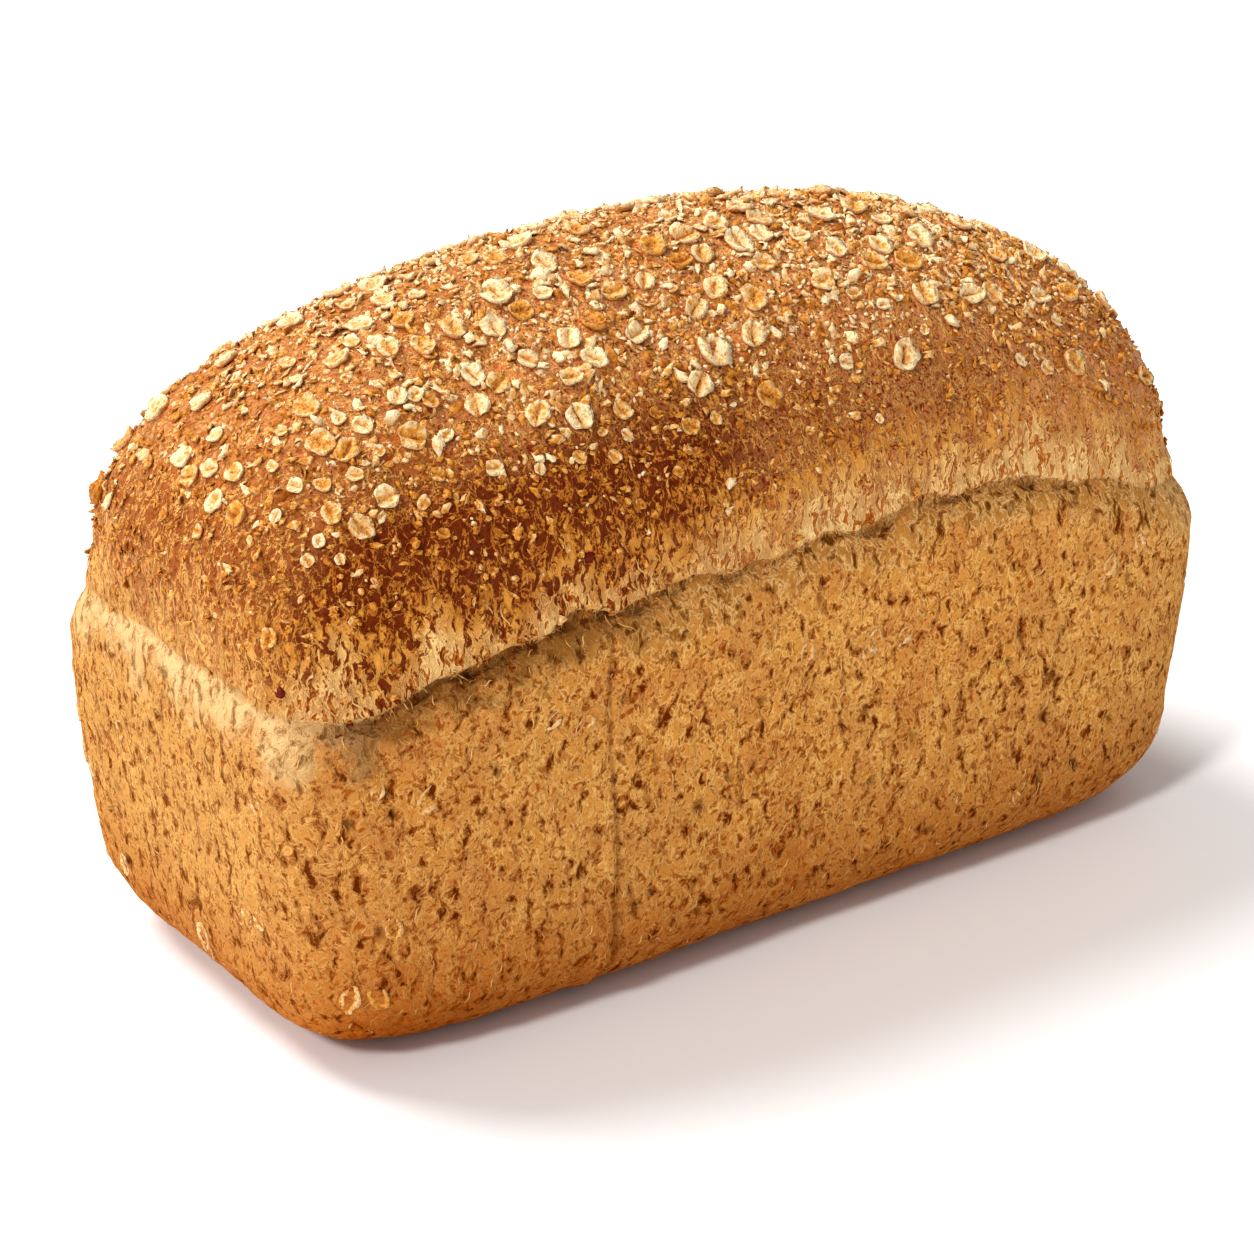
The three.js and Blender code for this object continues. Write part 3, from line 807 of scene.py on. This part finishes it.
class Surface:
    """The crust, for finding places on it. Its lengths are in mm."""

    def __init__(self, mesh, normals, skin, rise, ends):
        self.points = places_of(mesh) / MM
        self.normals, self.skin, self.rise, self.ends = normals, skin, rise, ends
        mesh.calc_loop_triangles()
        corners = np.empty(len(mesh.loop_triangles) * 3, dtype=int)
        mesh.loop_triangles.foreach_get("vertices", corners)
        self.triangles = corners.reshape(-1, 3)
        a, b, c = (self.points[self.triangles[:, i]] for i in range(3))
        self.areas = np.linalg.norm(np.cross(b - a, c - a), axis=1) / 2
        self.tree = BVHTree.FromPolygons(self.points.tolist(), self.triangles.tolist())

    def seen_at(self, across, down):
        """The place that the photograph shows at a pixel."""
        back, right, up, eye = camera_axes()
        half = PHOTO_SIDE / 2
        ray = right * (across - half) - up * (down - half) - back * FOCAL_PIXELS
        point, _, triangle, distance = self.tree.ray_cast(eye, ray.normalized())
        return point, triangle, distance

    def normal(self, triangle):
        return self.normals[self.triangles[triangle]].mean(axis=0)

    def scatter(self, count, weights, rng):
        """Places drawn by area times weight, as points and triangles."""
        chance = self.areas * weights[self.triangles].mean(axis=1)
        picked = rng.choice(len(chance), size=count, p=chance / chance.sum())
        shares = rng.dirichlet((1, 1, 1), size=count)
        return (self.points[self.triangles[picked]] * shares[:, :, None]).sum(axis=1), picked


def nearest_gap(point, others):
    """How far a point is from the nearest other, beyond that other's radius."""
    return min((math.dist(point, centre) - radius for centre, radius in others), default=math.inf)


def lay_flakes(surface, oat):
    """The whole flakes: first where the photograph shows them, then by chance, mostly out of its sight."""
    rng = random.Random(11)
    draw = np.random.default_rng(11)
    kinds = [whole_flake(rng) for _ in range(16)]
    laid, places = [], []

    def lay(point, triangle, width):
        size = (width, width * rng.uniform(0.78, 0.98), width * 0.8)
        normal = surface.normal(triangle)
        turn = lying(normal, rng, size, 0.09)
        # Flakes high on the crown are paler: painted light for the brighter top
        tone = min(max(rng.gauss(0.3, 0.28) - 0.22 * smoothstep(point[2], 115, 145), 0), 1)
        places.append((rng.randrange(len(kinds)), np.array(point) + normal * FLAKE_LIFT, turn, tone))
        laid.append((tuple(point), width / 2))

    for across, down, width in SEEN_FLAKES:
        point, triangle, distance = surface.seen_at(across, down)
        if point is not None:
            lay(point, triangle, width * distance / FOCAL_PIXELS * 1.04)
    *_, eye = camera_axes()
    facing = ((np.array(eye) - surface.points) * surface.normals).sum(axis=1)
    facing /= np.linalg.norm(np.array(eye) - surface.points, axis=1)
    high = smoothstep(surface.skin, 0.8, 4)
    weights = high * mix(1, 0.12, smoothstep(facing, 0.05, 0.3))
    points, triangles = surface.scatter(FLAKE_TRIES, weights, draw)
    for point, triangle in zip(points, triangles):
        width = rng.uniform(5.8, 8.6)
        if len(laid) < WHOLE_FLAKES and nearest_gap(point, laid) > width / 2 + 2.2:
            lay(point, triangle, width)
    joined("whole_flakes", kinds, places, oat)
    return laid


def lay_small(name, surface, kinds, weights, clear_of, material):
    """One of the broken toppings, by chance, clear of the whole flakes."""
    count, (low, high), toasted, seed = BROKEN[name]
    rng = random.Random(seed)
    draw = np.random.default_rng(seed)
    points, triangles = surface.scatter(count, weights, draw)
    tree = kdtree.KDTree(len(clear_of))
    for i, (centre, _) in enumerate(clear_of):
        tree.insert(centre, i)
    tree.balance()
    places = []
    for point, triangle in zip(points, triangles):
        size = low + (high - low) * rng.random() ** 1.6
        _, near, distance = tree.find(point)
        if distance < clear_of[near][1] * 0.85 + size * 0.3:
            continue
        scale = (size, size * rng.uniform(0.7, 1), size * rng.uniform(0.8, 1.3))
        turn = lying(surface.normal(triangle), rng, scale, 0.35)
        # Pieces high on the crown are paler: painted light for the brighter top
        painted_top_light = 0.3 * smoothstep(point[2], 115, 145)
        tone = min(max(rng.gauss(toasted - painted_top_light, 0.28), 0), 1.1)
        places.append((rng.randrange(len(kinds)), point, turn, tone))
    joined(name, kinds, places, material)


def lay_strands(name, surface, weights, material):
    """Strands of stretched crumb, by chance, each running along the surface."""
    count, heading, sway, lengths, thicknesses, seed = STRANDS[name]
    rng = random.Random(seed)
    kinds = [torn_strand(rng) for _ in range(12)]
    places = []
    for point, triangle in zip(*surface.scatter(count, weights, np.random.default_rng(seed))):
        thick = rng.uniform(*thicknesses)
        turn = running(surface.normal(triangle), heading, rng, (rng.uniform(*lengths), thick, thick), sway)
        places.append((rng.randrange(len(kinds)), point, turn, rng.random()))
    joined(name, kinds, places, material)


def stretched_crumb():
    """Strands of crumb that stretched and dried as the crown rose: thin, pale gold and slightly waxy."""
    material, tree = new_material("stretched dry crumb")
    tone = add(tree, "Attribute", out="Fac", attribute_name="tone")
    colour = add(tree, "Mix", blend(tone, "#EDB96C", "#C9802A"), **COLOURS)
    shader = add(tree, "BsdfPrincipled", {"Base Color": colour, "Roughness": 0.5, "Specular IOR Level": 0.3})
    add(tree, "OutputMaterial", {"Surface": shader})
    return material


def lay_topping(surface):
    """The oats: whole and broken ones on the crown, small toasted ones at its edge, a few in the walls."""
    oat = rolled_oat()
    whole = lay_flakes(surface, oat)
    rng = random.Random(5)
    crown = smoothstep(surface.skin, 0.6, 3) * (0.65 + 1.1 * smoothstep(surface.points[:, 2], 118, 146))
    crown *= 1 + 0.5 * smoothstep(surface.points[:, 0], 10, 90)
    edge = smoothstep(surface.skin, -0.9, 0.6) * (1 - 0.75 * smoothstep(surface.skin, 2, 4.5))
    curls = [curled_fragment(rng) for _ in range(16)]
    chips = [ragged_chip(rng) for _ in range(20)]
    grains = [crumb(rng) for _ in range(10)]
    lay_small("curled_fragments", surface, curls, crown, whole, oat)
    lay_small("ragged_chips", surface, chips, crown, whole, oat)
    lay_small("toasted_chips", surface, chips, edge, whole, oat)
    lay_small("crumbs", surface, grains, crown, whole, oat)
    lay_sunken(surface, oat)


def lay_sunken(surface, oat):
    """Flakes pressed into the walls by the tin, almost flush with them."""
    rng = random.Random(17)
    kinds = [whole_flake(rng) for _ in range(8)]
    spots = [surface.seen_at(across, down)[:2] for across, down in SUNKEN_FLAKES]
    walls = smoothstep(surface.points[:, 2], 8, 20) * (1 - smoothstep(surface.rise, -16, -8))
    spots += list(zip(*surface.scatter(SUNKEN_BY_CHANCE, walls, np.random.default_rng(17))))
    places = []
    for point, triangle in spots:
        width = rng.uniform(4, 7)
        normal = surface.normal(triangle)
        turn = running(normal, (0.3, 0.3, 1), rng, (width, width * 0.62, width * 0.5), 0.4)
        kind = rng.randrange(len(kinds))
        places.append((kind, np.array(point) - 0.12 * normal, turn, rng.uniform(0.3, 0.75)))
    joined("sunken_flakes", kinds, places, oat)


def burnt_sugar():
    """A bead of sugar that boiled out and burnt: dark red-brown, with a soft shine."""
    material, tree = new_material("burnt sugar bead")
    shader = add(
        tree, "BsdfPrincipled",
        {"Base Color": linear("#641400"), "Roughness": 0.35, "Specular IOR Level": 0.1},
    )
    add(tree, "OutputMaterial", {"Surface": shader})
    return material


def lay_beads(surface):
    """The beads of burnt sugar, where the photograph shows them."""
    rng = random.Random(3)
    places = []
    for across, down, width in SUGAR_BEADS:
        point, triangle, distance = surface.seen_at(across, down)
        size = width * distance / FOCAL_PIXELS
        turn = lying(surface.normal(triangle), rng, (size, size * 0.75, size * 0.5), 0.05)
        places.append((0, np.array(point), turn, 1))
    joined("sugar_beads", [crumb(rng)], places, burnt_sugar())


def lay_torn_crumb(surface):
    """Strands that hang from the lip, cross the torn band and stand out of the walls."""
    dry = stretched_crumb()
    lip = hump(surface.rise, 1, 5) * side_share(surface.points, surface.ends)
    band = smoothstep(surface.rise, -3, 2) * (1 - smoothstep(surface.skin, -0.6, 0.9))
    walls = smoothstep(surface.points[:, 2], 2, 12) * (1 - smoothstep(surface.rise, -6, 0))
    lay_strands("lip_strands", surface, lip, dry)
    lay_strands("band_strands", surface, band, dry)
    lay_strands("wall_strands", surface, walls, dry)


def place_camera():
    back, right, up, eye = camera_axes()
    camera = bpy.data.objects.new("camera", bpy.data.cameras.new("camera"))
    camera.data.sensor_width = SENSOR
    camera.data.lens = SENSOR * FOCAL_PIXELS / PHOTO_SIDE
    camera.matrix_world = Matrix.Translation(eye * MM) @ Matrix((right, up, back)).transposed().to_4x4()
    bpy.context.scene.collection.objects.link(camera)
    bpy.context.scene.camera = camera


def lay_floor():
    """A plain white table top."""
    sheet = bmesh.new()
    bmesh.ops.create_grid(sheet, x_segments=1, y_segments=1, size=8)
    floor = bpy.data.objects.new("floor", as_mesh(sheet, "floor"))
    material, tree = new_material("white paper sweep")
    shader = add(tree, "BsdfPrincipled", {"Base Color": linear("#FBF9F8"), "Roughness": 0.9})
    add(tree, "OutputMaterial", {"Surface": shader})
    floor.data.materials.append(material)
    bpy.context.scene.collection.objects.link(floor)


def light(name, azimuth, elevation, softness, strength):
    """A distant soft light. Its angles are in degrees, seen from the loaf."""
    lamp = bpy.data.lights.new(name, "SUN")
    lamp.angle = math.radians(softness)
    lamp.energy = strength
    body = bpy.data.objects.new(name, lamp)
    across, up = math.radians(azimuth), math.radians(elevation)
    towards = Vector((math.sin(across), -math.cos(across), math.tan(up)))
    body.matrix_world = towards.to_track_quat("Z", "Y").to_matrix().to_4x4()
    bpy.context.scene.collection.objects.link(body)


def light_studio():
    """A white studio, with a large softbox behind on the left and a smaller lamp in front on the left."""
    world = bpy.data.worlds.new("studio")
    world.use_nodes = True
    sky = world.node_tree.nodes["Background"]
    sky.inputs["Color"].default_value = (1, 1, 1, 1)
    sky.inputs["Strength"].default_value = SKY_STRENGTH
    bpy.context.scene.world = world
    for name, settings in LAMPS.items():
        light(name, *settings)
    bpy.context.scene.view_settings.view_transform = "Standard"


place_camera()
crust, about = crust_piece()
crust.data.materials.append(baked_crust())
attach(crust, "root")
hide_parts("loaf")
surface = Surface(crust.data, *about)
lay_topping(surface)
lay_torn_crumb(surface)
lay_beads(surface)
lay_floor()
light_studio()
